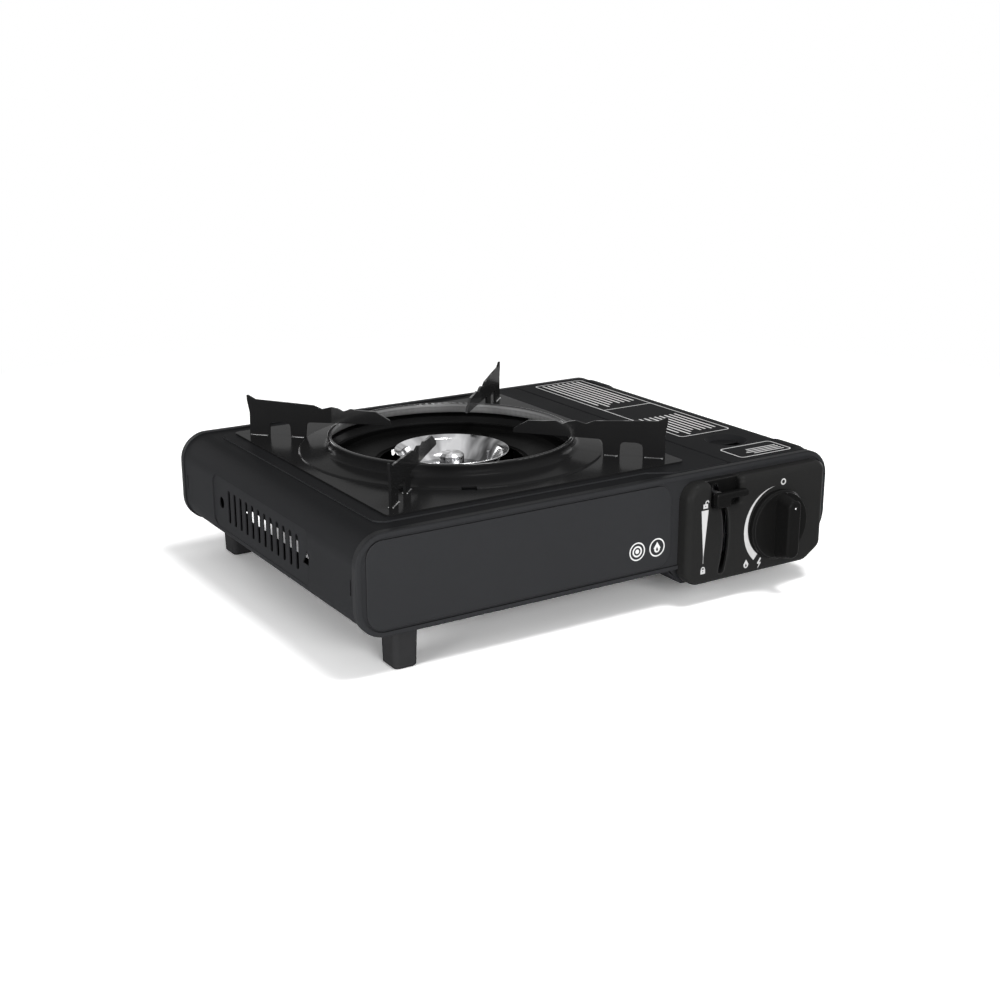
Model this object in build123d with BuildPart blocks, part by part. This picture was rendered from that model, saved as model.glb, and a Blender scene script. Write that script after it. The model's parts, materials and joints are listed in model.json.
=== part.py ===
from build123d import *
import math
import os

os.makedirs("parts", exist_ok=True)

# Butane cassette stove, in millimetres. X runs along the front to the right, Y to the back, Z up.
# The origin is on the ground, under the middle of the whole stove with its knob.

# ---- driving sizes of the body ----
body_width = 340.0        # across the hems of the two end panels
body_depth = 255.4        # from the front hem to the back hem
body_top = 84.0           # top of the hems above the ground
body_bottom = 23.6        # underside of the hems
corner_r = 18.0           # rounded corners of the body seen from the front
sheet = 0.8               # painted sheet steel
seam = 0.2                # gap between lapped sheets
fascia_proud = 8.3        # control panel in front of the front hem
knob_proud = 16.3         # knob in front of the control panel

back_y = (body_depth + fascia_proud + knob_proud) / 2
front_y = back_y - body_depth
mid_y = (front_y + back_y) / 2
mid_z = (body_top + body_bottom) / 2
half_width = body_width / 2
body_height = body_top - body_bottom
lap = sheet + seam        # a sheet inside a hem is this much smaller all round

# ---- end panels ----
hem_depth = 4.5           # how far a hem laps over the body
hem_width = 3.0           # hem seen from the front
hem_round = 1.0
face_set = 1.2            # panel face behind the hem
field_left = 6.5          # raised field of the front panel, in from the left end
field_right = half_width - 126.5
field_margin = 4.4        # above and below it
field_rise = 1.0
field_edge = 0.5          # rounding of its edge
field_r = 10.0
window_left = half_width - 112.0   # mouth of the front panel behind the control panel
window_right = half_width - 18.0
window_top = body_top - 8.0
back_vents = 9
back_vent_pitch = 12.0
back_vent_length = 16.0
back_vent_width = 3.0

wrap_front = front_y + face_set + lap
wrap_back = back_y - face_set - lap
inside_front = front_y + hem_depth + seam
inside_back = back_y - hem_depth - seam

# ---- top, with its raised platform ----
platform_left = 22.0 - half_width
platform_front = 16.5     # narrow part, in from the front and back hems
platform_wide = 7.2       # wide part beside the lid
platform_bend = half_width - 135.0   # where it starts to widen
platform_slant = 17.0     # length over which it widens
platform_r = 8.0

# ---- left side, with its slots ----
side_field = (142.0, 34.0)   # pressed-in field, along Y and up
side_field_y = 4.0           # its middle, from the middle of the body
side_field_z = 53.0
side_field_r = 7.0
side_field_set = 1.0
slot_count = 12
slot_pitch = 9.1
slot_y = 0.7                 # middle of the row of slots, from the middle of the body
slot_height = 21.4
slot_width = 4.0
side_hole_y = 63.0
side_hole_r = 3.75
side_arrow_y = -62.5
side_arrow = (11.0, 8.1)
tab_slot = (1.2, 9.0)
tab_slot_inset = 8.7
wrap_floor_end = 35.0 - half_width   # the wrap turns under the body as far as this

# ---- lid of the cartridge bay ----
lid_left = half_width - 77.5
lid_gap = 0.5                # seam beside the top and at both ends
hinge_r = 2.0                # rolled edge of the lid
hinge_rod_r = 1.2
running = 0.05               # radial clearance of a turning fit
lid_lip = 58.0               # height of the lid's lower edge at the right
finger_x = half_width - 43.0
finger_y = -78.0             # from the middle of the body
finger_r = 14.0
finger_depth = 3.0
pad_length = 18.0            # raised pads on the lid's shoulder
pad_rise = 0.8
pad_inset = 24.0
pad_spread = 10.0            # how far a pad reaches round the shoulder
hinge_x = lid_left + hinge_r
hinge_z = body_top - hinge_r
wrap_right = lid_left - lid_gap

# ---- tray under the cartridge bay, partition and base ----
tray_bottom = 12.0
tray_left = half_width - 129.0   # where the tray starts to slope down
tray_slope = 15.0
tray_flange = 7.0
tray_bend = 3.0
tray_corner = 14.0
tray_wall_top = 64.0
tray_floor = tray_bottom + sheet
lip_gap = 0.6                # between the tray's right wall and the lid's lip
tray_right = half_width - lap - sheet - lip_gap
base_left = 45.0 - half_width
base_flange = 6.0
base_z = body_bottom + lap   # underside of the base plate
base_top = base_z + sheet
base_slots = 8
partition_x = lid_left - 1.5

# ---- feet ----
foot_size = (16.0, 18.0)
foot_taper = 0.5
foot_round = 3.5
foot_edge = 1.0
foot_left_x = 32.7 - half_width
foot_left_inset = 4.8        # front and rear left feet, in from the hems
foot_right_x = half_width - 30.0
foot_right_front = 38.0      # front right foot, in from the front hem
foot_right_rear = 5.0

# ---- pan support ----
burner_x = -34.3
burner_y = mid_y + 1.5
plate_t = 1.0
plate_top = body_top + plate_t
ring_foot_r = 97.5
ring_step = 0.9              # step at the foot of the ring
ring_neck_r = ring_foot_r - 20.5
ring_neck_rise = 2.0         # neck above the step
ring_bends = (0.6, 0.6, 4.6, 0.8, 0.8)   # step, step, neck, lip, lip
ring_rim_r = ring_foot_r - 18.0
ring_top = plate_top + 10.0
ring_lip = (2.0, 1.8)        # edge rolled inwards, across and down
ring_notch = (9.0, 5.0)
ring_notch_angle = -114.5
plate_size = (2 * ring_foot_r + 14.0, 2 * ring_foot_r + 20.0)
plate_r = 4.0
fin_t = 1.5
fin_above_ring = 0.3

# ---- drip pan and burner ----
pan_t = 0.6
pan_rim_r = ring_foot_r - 9.5
pan_hole_r = pan_rim_r - 6.0
pan_floor_r = pan_hole_r - 13.0
pan_floor_drop = 3.6
pan_mouth_drop = 8.0
bowl_r = 36.5
pan_mouth_r = bowl_r + 10.5
bowl_rim_z = 83.4
bowl_floor_r = 26.0
bowl_floor_z = 70.0
bowl_t = 0.8
head_r = 8.0
head_flange_r = 12.0
head_flange = 2.0
head_h = 10.8
head_edge = 1.5
head_ports = 16
port_r = 0.8
port_drop = 3.0              # row of gas ports below the top of the head
housing_r = 19.0
tube_z = 58.0
tube_r = 8.0
tube_wall = 1.2
pipe_x = half_width - 90.0
tube_mouth_x = pipe_x - 28.0
tube_bell_r = 11.0
socket_r = 9.6
socket_length = 12.0
housing_bottom = tube_z - tube_r - 1.8
bracket_t = 1.2
bracket_width = 30.0
bracket_foot = 12.0

# ---- cartridge bay ----
cartridge_r = 34.0
cartridge_x = half_width - 39.5
cartridge_z = tray_floor + cartridge_r + 0.5
cartridge_length = 185.0
bulkhead_inset = 46.0        # from the front hem to the bulkhead
bulkhead_t = 1.2
bulkhead_top = 79.0
seat_r = 21.0
seat_t = 5.0
seal_r = 7.0
seal_bore_r = 3.0
key_size = (3.0, 3.4)        # locating key for the notch in the cartridge's collar
neck_r = 17.0

# ---- regulator, valve and knob ----
knob_x = half_width - 48.6
knob_z = 43.4
knob_r = 22.5
knob_disc = 4.0
knob_gap = 0.4
ridge_width = 10.0
ridge_taper = 3.0
ridge_end = 4.5              # rounded ends of the ridge
ridge_edge = 1.2
spindle_r = 3.0
spindle_in = 20.0            # how far the spindle reaches behind the front hem
boss_r = 9.0
boss_front = 4.0
block_size = (42.0, 42.0)    # regulator block, X and Z
block_centre = (knob_x + 3.6, 45.0)
block_front = 8.0            # from the front hem
block_length = 26.0
cover_r = 20.0
cover_t = 7.0
pipe_r = 2.5
pipe_bend = 8.0
pipe_inset = 20.0            # pipe's line at the regulator, from the front hem
jet_r = 5.0
jet_length = 8.0
jet_tip = 5.0
piezo_r = 4.5
piezo_x = knob_x - 23.4
piezo_z = 30.0
piezo_front = 6.0

# ---- control panel ----
fascia_left = half_width - 120.0
fascia_right = half_width - 8.7
fascia_bottom = 13.3
fascia_top = 78.5
fascia_wall = 2.0
fascia_r = 11.0
fascia_top_right_r = 6.0
fascia_cut = (13.0, 8.5)     # slanted lower right corner
fascia_cut_r = 7.0
fascia_round = 4.0
recess_left = fascia_left + 19.0
recess_right = fascia_left + 40.5
recess_bottom = 62.0
recess_depth = 5.0
recess_r = 2.0
shoulder_r = 4.6             # panel beside the mouth of the recess
fascia_y = front_y - fascia_proud

# ---- lock lever and cartridge pusher ----
lever_x = knob_x - 123.4     # pivot
lever_z = 42.0
lever_r = 82.0               # pivot to the middle of the button
lever_rest = 18.9            # angle of the lever above the level at rest, in degrees
lever_travel = 30.5          # down to the locked position
lever_t = 1.5
lever_front = 2.4            # lever plate behind the front hem
lever_width = 9.0
eye_r = 7.0
pivot_r = 2.5
stem_size = (3.2, 4.4)       # across the slot and along it
stem_in = 2.4                # how far the stem reaches into the button
slot_reach_end = 4.8         # slot beyond the middle of the stem at both ends
slot_gap = 0.8
button_block = (11.2, 9.0)
button_tab = (25.0, 4.0)
button_offset = (1.4, 1.5)   # middle of the block left of the stem and below it
button_t = 3.8
button_round = 2.5
button_edge = 0.8
button_gap = 0.5
pusher_travel = 8.0
rod_r = 2.0
rod_x = lever_x + 19.0
cam_inner_r = 24.0
cam_outer_r = 33.0
cam_wall = 1.6
cam_gap = 0.9
cam_margin = 2.0             # the cam reaches this many degrees past its follower
follower_angle = 5.0
follower_r = 28.0            # where the follower meets the cam
guide_t = 2.0
guide_width = 14.0
guide_inset = 45.0
arm_height = 10.0
pad_t = 2.0
pad_r = 22.0

# ---- igniter ----
electrode_angle = -35.0
electrode_r = 23.5
insulator_r = 2.6
insulator_top = 76.0
insulator_bottom = 44.0
wire_r = 0.9
wire_top = 82.0
lead_r = 1.2
lead_z = 30.0

screw_head_r = 3.0
screw_head = 1.6


def plane_y(y):
    # a plane seen from the front: its x is X, its y is Z
    return Plane(origin=(0, y, 0), x_dir=(1, 0, 0), z_dir=(0, -1, 0))


def slab(y_front, y_rear, draw, mode=Mode.ADD):
    # fills a profile seen from the front between two depths
    with BuildSketch(plane_y(y_rear)) as profile:
        draw()
    extrude(profile.sketch, amount=y_rear - y_front, mode=mode)


def body_outline(inset, mode=Mode.ADD):
    with Locations((0, mid_z)):
        RectangleRounded(body_width - 2 * inset, body_height - 2 * inset, corner_r - inset, mode=mode)


def strip(points, bend, thickness):
    # a bent sheet seen from its edge, along the middle of its thickness
    with BuildLine() as middle:
        FilletPolyline(*points, radius=bend)
    with BuildLine() as edge:
        offset(middle.line, amount=thickness / 2, side=Side.BOTH)
    make_face(edge.edges())


def polar(radius, degrees):
    return radius * math.cos(math.radians(degrees)), radius * math.sin(math.radians(degrees))


# height at which the pusher's rod and arm run
follower_z = lever_z + polar(follower_r, follower_angle)[1]


def save(part, name):
    part.label = name
    export_step(part, f"parts/{name}.step")


# ---- sheet metal body ----
def end_panel(y_front, y_rear, outer_end):
    # blank of an end panel, rounded along its outer edge: 0 is its front end, -1 its rear end
    slab(y_front, y_rear, lambda: body_outline(0))
    fillet(edges().filter_by(Plane.XZ).group_by(Axis.Y)[outer_end], hem_round)


def field_outline(inset=0.0):
    left = -half_width + field_left
    with Locations(((left + field_right) / 2, mid_z)):
        RectangleRounded(
            field_right - left - 2 * inset, body_height - 2 * field_margin - 2 * inset, field_r - inset
        )


def window_outline():
    # the mouth behind the control panel, open at the bottom for the lever
    with Locations(((window_left + window_right) / 2, window_top)):
        Rectangle(window_right - window_left, body_height, align=(Align.CENTER, Align.MAX))


with BuildPart() as front_panel:
    face_front = front_y + face_set
    end_panel(front_y, front_y + hem_depth, 0)
    slab(face_front + sheet, front_y + hem_depth, lambda: body_outline(sheet), Mode.SUBTRACT)
    slab(front_y, face_front, lambda: body_outline(hem_width), Mode.SUBTRACT)
    slab(face_front - field_rise, face_front, field_outline)
    field_face = front_panel.faces().filter_by(Plane.XZ).filter_by_position(
        Axis.Y, face_front - field_rise - seam / 2, face_front - field_rise + seam / 2
    )
    fillet(field_face.edges(), field_edge)
    slab(face_front + sheet - field_rise, face_front + sheet, lambda: field_outline(sheet), Mode.SUBTRACT)
    slab(front_y, front_y + hem_depth, window_outline, Mode.SUBTRACT)
save(front_panel.part, "front_panel")

with BuildPart() as back_panel:
    face_back = back_y - face_set
    end_panel(back_y - hem_depth, back_y, -1)
    slab(back_y - hem_depth, face_back - sheet, lambda: body_outline(sheet), Mode.SUBTRACT)
    slab(face_back, back_y, lambda: body_outline(hem_width), Mode.SUBTRACT)
    with BuildSketch(plane_y(back_y)):
        with Locations((burner_x, mid_z)):
            with GridLocations(back_vent_pitch, 1, back_vents, 1):
                SlotOverall(back_vent_length, back_vent_width, rotation=90)
    extrude(amount=hem_depth, mode=Mode.SUBTRACT)
save(back_panel.part, "back_panel")


def platform_outline(inset=0.0):
    front = front_y + platform_front
    wide = front_y + platform_wide
    slant = platform_bend + platform_slant
    points = [
        (platform_left, front), (platform_bend, front), (slant, wide), (wrap_right, wide),
        (wrap_right, 2 * mid_y - wide), (slant, 2 * mid_y - wide),
        (platform_bend, 2 * mid_y - front), (platform_left, 2 * mid_y - front),
    ]
    with BuildSketch(mode=Mode.PRIVATE) as outline:
        with BuildLine() as edge:
            Polyline(*points, close=True)
        make_face(edge.edges())
        fillet(outline.vertices().sort_by(Axis.X)[:2], platform_r)
    add(offset(outline.sketch, amount=-inset, mode=Mode.PRIVATE) if inset else outline.sketch)


def side_field_outline(grow=0.0):
    with Locations((mid_y + side_field_y, side_field_z)):
        RectangleRounded(side_field[0] + 2 * grow, side_field[1] + 2 * grow, side_field_r + grow)


with BuildPart() as body_wrap:
    top_skin = body_top - lap
    slab(wrap_front, wrap_back, lambda: body_outline(lap))
    slab(wrap_front, wrap_back, lambda: body_outline(lap + sheet), Mode.SUBTRACT)
    # the right end is open for the lid and tray, the bottom for the base plate
    with BuildSketch(Plane.XZ.offset(-wrap_back)):
        with Locations((wrap_right, mid_z)):
            Rectangle(body_width, body_height, align=(Align.MIN, Align.MIN))
        with Locations((wrap_floor_end, body_bottom)):
            Rectangle(body_width, body_height / 2, align=(Align.MIN, Align.MIN))
    extrude(amount=body_depth, mode=Mode.SUBTRACT)
    # raised platform
    with BuildSketch(Plane.XY.offset(top_skin)):
        platform_outline()
    extrude(amount=lap)
    with BuildSketch(Plane.XY.offset(top_skin - sheet)):
        platform_outline(sheet)
    extrude(amount=lap, mode=Mode.SUBTRACT)
    # pressed field of the left side, then its holes
    side_x = -half_width + lap
    with BuildSketch(Plane.YZ.offset(side_x + sheet)):
        side_field_outline(sheet)
    extrude(amount=side_field_set)
    with BuildSketch(Plane.YZ.offset(side_x)):
        side_field_outline()
    extrude(amount=side_field_set, mode=Mode.SUBTRACT)
    with BuildSketch(Plane.YZ.offset(-half_width)):
        with Locations((mid_y + slot_y, side_field_z)):
            with GridLocations(slot_pitch, 1, slot_count, 1):
                SlotOverall(slot_height, slot_width, rotation=90)
        with Locations((mid_y + side_hole_y, side_field_z)):
            Circle(side_hole_r)
        with Locations((mid_y + side_arrow_y, side_field_z)):
            Polygon(
                (-side_arrow[0] / 2, -side_arrow[1] / 2), (side_arrow[0] / 2, -side_arrow[1] / 2),
                (0, side_arrow[1] / 2), align=None,
            )
        with Locations((front_y + tab_slot_inset, side_field_z), (back_y - tab_slot_inset, side_field_z)):
            Rectangle(*tab_slot)
    extrude(amount=2 * lap + sheet + side_field_set, mode=Mode.SUBTRACT)
    # mouth for the drip pan
    with BuildSketch(Plane.XY.offset(top_skin - sheet)):
        with Locations((burner_x, burner_y)):
            Circle(pan_hole_r)
    extrude(amount=2 * lap, mode=Mode.SUBTRACT)
save(body_wrap.part, "body_wrap")

with BuildPart() as base_plate:
    base_right = tray_left - tray_bend
    with BuildSketch(Plane.XZ.offset(-wrap_back)):
        with Locations((base_left, base_z)):
            Rectangle(base_right - base_left, sheet, align=(Align.MIN, Align.MIN))
            Rectangle(sheet, base_flange, align=(Align.MIN, Align.MIN))
    extrude(amount=wrap_back - wrap_front)
    with BuildSketch(Plane.XY.offset(base_z)):
        for row_y in (front_y + body_depth / 4, back_y - body_depth / 4):
            with Locations(((base_left + base_right) / 2, row_y)):
                with GridLocations(back_vent_pitch, 1, base_slots, 1):
                    SlotOverall(back_vent_length, back_vent_width, rotation=90)
    extrude(amount=sheet, mode=Mode.SUBTRACT)
save(base_plate.part, "base_plate")


def tray_points():
    half = sheet / 2
    return [
        (tray_left - tray_flange, base_top + half), (tray_left, base_top + half),
        (tray_left + tray_slope, tray_bottom + half), (tray_right - half, tray_bottom + half),
        (tray_right - half, tray_wall_top),
    ]


def tray_end():
    # the closed end of the tray, up to the height of the base plate
    floor = tray_bottom + sheet / 2
    with BuildLine() as edge:
        Polyline(
            (tray_left + tray_bend, base_top), (tray_left + tray_slope, floor),
            (tray_right - tray_corner, floor), (tray_right - sheet, base_top), close=True,
        )
    make_face(edge.edges())


with BuildPart() as gas_bay_tray:
    slab(inside_front, inside_back, lambda: strip(tray_points(), [tray_bend, tray_bend, tray_corner], sheet))
    slab(inside_front, inside_front + sheet, tray_end)
    slab(inside_back - sheet, inside_back, tray_end)
save(gas_bay_tray.part, "gas_bay_tray")

with BuildPart() as heat_partition:
    gas_y = front_y + pipe_inset
    with BuildSketch(Plane.YZ.offset(partition_x)):
        with BuildLine():
            Polyline(
                (inside_front + sheet, tray_floor), (inside_back - sheet, tray_floor),
                (inside_back - sheet, top_skin - sheet), (inside_front + sheet, top_skin - sheet), close=True,
            )
        make_face()
        with Locations((gas_y, tube_z)):
            Circle(pipe_r + 1.5, mode=Mode.SUBTRACT)
        with Locations((gas_y, lead_z)):
            Circle(lead_r + 1.5, mode=Mode.SUBTRACT)
        # slot for the arm of the cartridge pusher, open over its whole travel
        slot_length = pusher_travel + pad_t + 6
        with Locations((inside_back - sheet - slot_length / 2, follower_z)):
            Rectangle(slot_length + 2, arm_height + 4, mode=Mode.SUBTRACT)
    extrude(amount=sheet)
save(heat_partition.part, "heat_partition")

# ---- lid of the cartridge bay ----
lid_front = front_y + hem_depth + lid_gap
lid_back = back_y - hem_depth - lid_gap
lid_step_front = front_y + platform_wide
lid_step_back = back_y - platform_wide


def shoulder_pad():
    # raised pad over the rounded shoulder, seen from the front
    body_outline(-pad_rise)
    body_outline(sheet, Mode.SUBTRACT)
    with Locations((half_width - corner_r / 2, body_top)):
        Circle(pad_spread, mode=Mode.INTERSECT)


with BuildPart() as lid:
    slab(lid_front, lid_back, lambda: body_outline(lap))
    slab(lid_step_front, lid_step_back, lambda: body_outline(0))
    slab(lid_front, lid_back, lambda: body_outline(lap + sheet), Mode.SUBTRACT)
    slab(lid_step_front + sheet, lid_step_back - sheet, lambda: body_outline(sheet), Mode.SUBTRACT)
    # only the top and the right shoulder are left of the ring
    with BuildSketch(Plane.XZ.offset(-back_y)):
        with Locations((-half_width, 0)):
            Rectangle(half_width + hinge_x, 2 * body_top, align=(Align.MIN, Align.MIN))
            Rectangle(2 * body_width, lid_lip, align=(Align.MIN, Align.MIN))
    extrude(amount=body_depth, mode=Mode.SUBTRACT)
    for pad_y in (front_y + pad_inset, back_y - pad_inset):
        slab(pad_y - pad_length / 2, pad_y + pad_length / 2, shoulder_pad)
    # rolled edge round the hinge rod
    with BuildSketch(plane_y(lid_back)):
        with Locations((hinge_x, hinge_z)):
            Circle(hinge_r)
    extrude(amount=lid_back - lid_front)
    with BuildSketch(plane_y(lid_back)):
        with Locations((hinge_x, hinge_z)):
            Circle(hinge_rod_r + running)
    extrude(amount=lid_back - lid_front, mode=Mode.SUBTRACT)
    # dished finger hole, open in its front half
    finger_at = (finger_x, mid_y + finger_y)
    dish_z = body_top - finger_depth
    with BuildSketch(Plane.XY.offset(dish_z), mode=Mode.PRIVATE) as dish_foot:
        with Locations(finger_at):
            Circle(finger_r - finger_depth)
    with BuildSketch(Plane.XY.offset(body_top), mode=Mode.PRIVATE) as dish_rim:
        with Locations(finger_at):
            Circle(finger_r)
    with BuildSketch(Plane.XY.offset(dish_z - sheet)):
        with Locations(finger_at):
            Circle(finger_r)
    extrude(amount=finger_depth)
    loft([dish_foot.sketch, dish_rim.sketch], mode=Mode.SUBTRACT)
    with BuildSketch(Plane.XY.offset(dish_z - sheet)):
        with Locations(finger_at):
            Circle(finger_r - finger_depth - 1)
        with Locations((finger_x, mid_y + finger_y + 1)):
            Rectangle(2 * finger_r, 2 * finger_r, align=(Align.CENTER, Align.MIN), mode=Mode.SUBTRACT)
    extrude(amount=finger_depth, mode=Mode.SUBTRACT)
save(lid.part, "lid")

with BuildPart() as lid_hinge_rod:
    with BuildSketch(plane_y(back_y - face_set - sheet)):
        with Locations((hinge_x, hinge_z)):
            Circle(hinge_rod_r)
    extrude(amount=body_depth - 2 * (face_set + sheet))
save(lid_hinge_rod.part, "lid_hinge_rod")

# ---- feet ----
foot_left_front = front_y + foot_left_inset + foot_size[1] / 2
foot_left_rear = back_y - foot_left_inset - foot_size[1] / 2
feet = {
    "foot_front_left": (foot_left_x, foot_left_front, base_z),
    "foot_rear_left": (foot_left_x, foot_left_rear, base_z),
    "foot_front_right": (foot_right_x, front_y + foot_right_front + foot_size[1] / 2, tray_bottom),
    "foot_rear_right": (foot_right_x, back_y - foot_right_rear - foot_size[1] / 2, tray_bottom),
}
for foot_name, (foot_x, foot_y, foot_top) in feet.items():
    with BuildPart() as foot:
        with BuildSketch():
            with Locations((foot_x, foot_y)):
                RectangleRounded(foot_size[0] - 2 * foot_taper, foot_size[1] - 2 * foot_taper, foot_round)
        with BuildSketch(Plane.XY.offset(foot_top)):
            with Locations((foot_x, foot_y)):
                RectangleRounded(foot_size[0], foot_size[1], foot_round)
        loft()
        chamfer(foot.faces().sort_by(Axis.Z)[0].edges(), foot_edge)
    save(foot.part, foot_name)

# ---- pan support: enamelled plate, raised ring and four fins ----
burner_axis = Axis((burner_x, burner_y, 0), (0, 0, 1))
side_plane = Plane(origin=(burner_x, burner_y, 0), x_dir=(1, 0, 0), z_dir=(0, -1, 0))

with BuildPart() as pan_support_plate:
    with BuildSketch(Plane.XY.offset(body_top)):
        with Locations((burner_x, burner_y)):
            RectangleRounded(*plate_size, plate_r)
            Circle(ring_foot_r, mode=Mode.SUBTRACT)
    extrude(amount=plate_t)
    with BuildSketch(side_plane):
        middle = body_top + plate_t / 2
        crest = ring_top - plate_t / 2
        step_top = middle + ring_step
        rim = ring_rim_r - plate_t / 2
        ring_points = [
            (ring_foot_r + 2, middle), (ring_foot_r, middle), (ring_foot_r - ring_step, step_top),
            (ring_neck_r, step_top + ring_neck_rise), (rim, crest), (rim - ring_lip[0], crest),
            (rim - ring_lip[0], crest - ring_lip[1]),
        ]
        strip(ring_points, ring_bends, plate_t)
    revolve(axis=burner_axis)
    # locating notch at the foot of the ring
    notch_x, notch_y = polar(ring_foot_r, ring_notch_angle)
    with BuildSketch(Plane.XY.offset(body_top)):
        with Locations(Location((burner_x + notch_x, burner_y + notch_y, 0), (0, 0, ring_notch_angle))):
            Rectangle(ring_notch[1], ring_notch[0])
    extrude(amount=2 * plate_t, mode=Mode.SUBTRACT)
save(pan_support_plate.part, "pan_support_plate")

# Outline of a fin: distance out from the foot of the ring, height above the plate, rounding.
fin_outline = [
    (-57.5, 11.6, 0.6), (-56.5, 14.6, 0.6), (-47.0, 19.9, 0.6), (-37.5, 20.0, 0.0), (-29.7, 20.7, 1.4),
    (-25.3, 18.7, 1.4), (-21.5, 20.6, 1.4), (-17.0, 21.3, 1.4), (-10.5, 19.6, 1.4), (-5.0, 21.8, 0.0),
    (15.5, 22.9, 0.0), (35.0, 23.8, 0.0), (41.1, 27.0, 0.6), (40.9, 23.0, 0.0), (39.4, 15.0, 0.0),
    (39.7, 0.0, 0.0), (25.9, 0.0, 0.0), (25.5, 9.2, 3.0), (11.5, 9.2, 3.0), (11.1, 0.0, 0.0),
    (1.0, 0.0, 0.0), (0.0, ring_top - plate_top + fin_above_ring, 3.0),
]
for fin_name, fin_angle in (("front_left", 225), ("front_right", 315), ("rear_right", 45), ("rear_left", 135)):
    run_x, run_y = polar(1, fin_angle)
    fin_plane = Plane(origin=(burner_x, burner_y, 0), x_dir=(run_x, run_y, 0), z_dir=(run_y, -run_x, 0))
    with BuildPart() as fin:
        with BuildSketch(fin_plane):
            with BuildLine():
                FilletPolyline(
                    *[(ring_foot_r + out, plate_top + up) for out, up, rounding in fin_outline],
                    radius=[rounding for out, up, rounding in fin_outline], close=True,
                )
            make_face()
        extrude(amount=fin_t / 2, both=True)
    save(fin.part, f"support_fin_{fin_name}")

# ---- drip pan and burner ----
with BuildPart() as drip_pan:
    with BuildSketch(side_plane):
        floor_z = body_top - pan_floor_drop
        pan_points = [
            (pan_rim_r, body_top + pan_t / 2), (pan_hole_r - 1, body_top + pan_t / 2),
            (pan_hole_r - 3, floor_z), (pan_floor_r, floor_z),
            (pan_mouth_r + 3, body_top - pan_mouth_drop), (pan_mouth_r, body_top - pan_mouth_drop),
        ]
        strip(pan_points, [0.8, 1.0, 3.0, 1.2], pan_t)
    revolve(axis=burner_axis)
save(drip_pan.part, "drip_pan")

electrode_at = tuple(a + b for a, b in zip(polar(electrode_r, electrode_angle), (burner_x, burner_y)))

with BuildPart() as burner_bowl:
    with BuildSketch(side_plane):
        bowl_points = [
            (1.0, bowl_floor_z - bowl_t / 2), (bowl_floor_r, bowl_floor_z - bowl_t / 2),
            (bowl_r - 3.5, bowl_rim_z - 2.2), (bowl_r, bowl_rim_z - bowl_t / 2),
        ]
        strip(bowl_points, [8.0, 3.0], bowl_t)
        Rectangle(2.0, 2 * body_top, mode=Mode.SUBTRACT)
    revolve(axis=burner_axis)
    with BuildSketch(Plane.XY.offset(bowl_floor_z - 4)):
        with Locations(electrode_at):
            Circle(insulator_r + 0.3)
    extrude(amount=10, mode=Mode.SUBTRACT)
save(burner_bowl.part, "burner_bowl")

with BuildPart() as burner_head:
    head_top = bowl_floor_z + head_h
    with BuildSketch(side_plane):
        with BuildLine():
            Polyline(
                (0, bowl_floor_z), (head_flange_r, bowl_floor_z), (head_flange_r, bowl_floor_z + head_flange),
                (head_r, bowl_floor_z + 2 * head_flange), (head_r, head_top - head_edge),
                (head_r - head_edge, head_top), (0, head_top), close=True,
            )
        make_face()
    revolve(axis=burner_axis)
    # row of gas ports
    with Locations((burner_x, burner_y, head_top - port_drop)):
        with PolarLocations(head_r, head_ports):
            Cylinder(port_r, head_r / 2, rotation=(0, 90, 0), mode=Mode.SUBTRACT)
save(burner_head.part, "burner_head")

housing_top = bowl_floor_z - bowl_t
with BuildPart() as burner_housing:
    with BuildSketch(Plane.XY.offset(housing_bottom)):
        with Locations((burner_x, burner_y)):
            Circle(housing_r)
    extrude(amount=housing_top - housing_bottom)
    chamfer(burner_housing.edges().group_by(Axis.Z)[0], 2)
    with BuildSketch(Plane.YZ.offset(burner_x)):
        with Locations((burner_y, tube_z)):
            Circle(socket_r)
    extrude(amount=housing_r + socket_length)
    with BuildSketch(Plane.YZ.offset(burner_x + housing_r - 2)):
        with Locations((burner_y, tube_z)):
            Circle(tube_r)
    extrude(amount=socket_length + 2, mode=Mode.SUBTRACT)
save(burner_housing.part, "burner_housing")

tube_start = burner_x + housing_r - 2
with BuildPart() as mixing_tube:
    with BuildSketch(side_plane):
        with BuildLine():
            Polyline(
                (tube_start - burner_x, tube_z + tube_r - tube_wall), (tube_start - burner_x, tube_z + tube_r),
                (tube_mouth_x - burner_x - 8, tube_z + tube_r), (tube_mouth_x - burner_x, tube_z + tube_bell_r),
                (tube_mouth_x - burner_x, tube_z + tube_bell_r - tube_wall),
                (tube_mouth_x - burner_x - 7, tube_z + tube_r - tube_wall), close=True,
            )
        make_face()
    revolve(axis=Axis((0, burner_y, tube_z), (1, 0, 0)))
save(mixing_tube.part, "mixing_tube")

with BuildPart() as burner_bracket:
    with BuildSketch(Plane(origin=(burner_x, 0, 0), x_dir=(0, 1, 0), z_dir=(1, 0, 0))):
        half = bracket_t / 2
        top_z = housing_bottom - half
        leg = housing_r + 4
        foot_z = base_top + half
        strip(
            [(burner_y - leg - bracket_foot, foot_z), (burner_y - leg, foot_z), (burner_y - leg, top_z),
             (burner_y + leg, top_z), (burner_y + leg, foot_z), (burner_y + leg + bracket_foot, foot_z)],
            2.0, bracket_t,
        )
    extrude(amount=bracket_width / 2, both=True)
    with BuildSketch(Plane.XY.offset(base_top)):
        with Locations(electrode_at):
            Circle(insulator_r + 1)
    extrude(amount=housing_bottom, mode=Mode.SUBTRACT)
save(burner_bracket.part, "burner_bracket")

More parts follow.
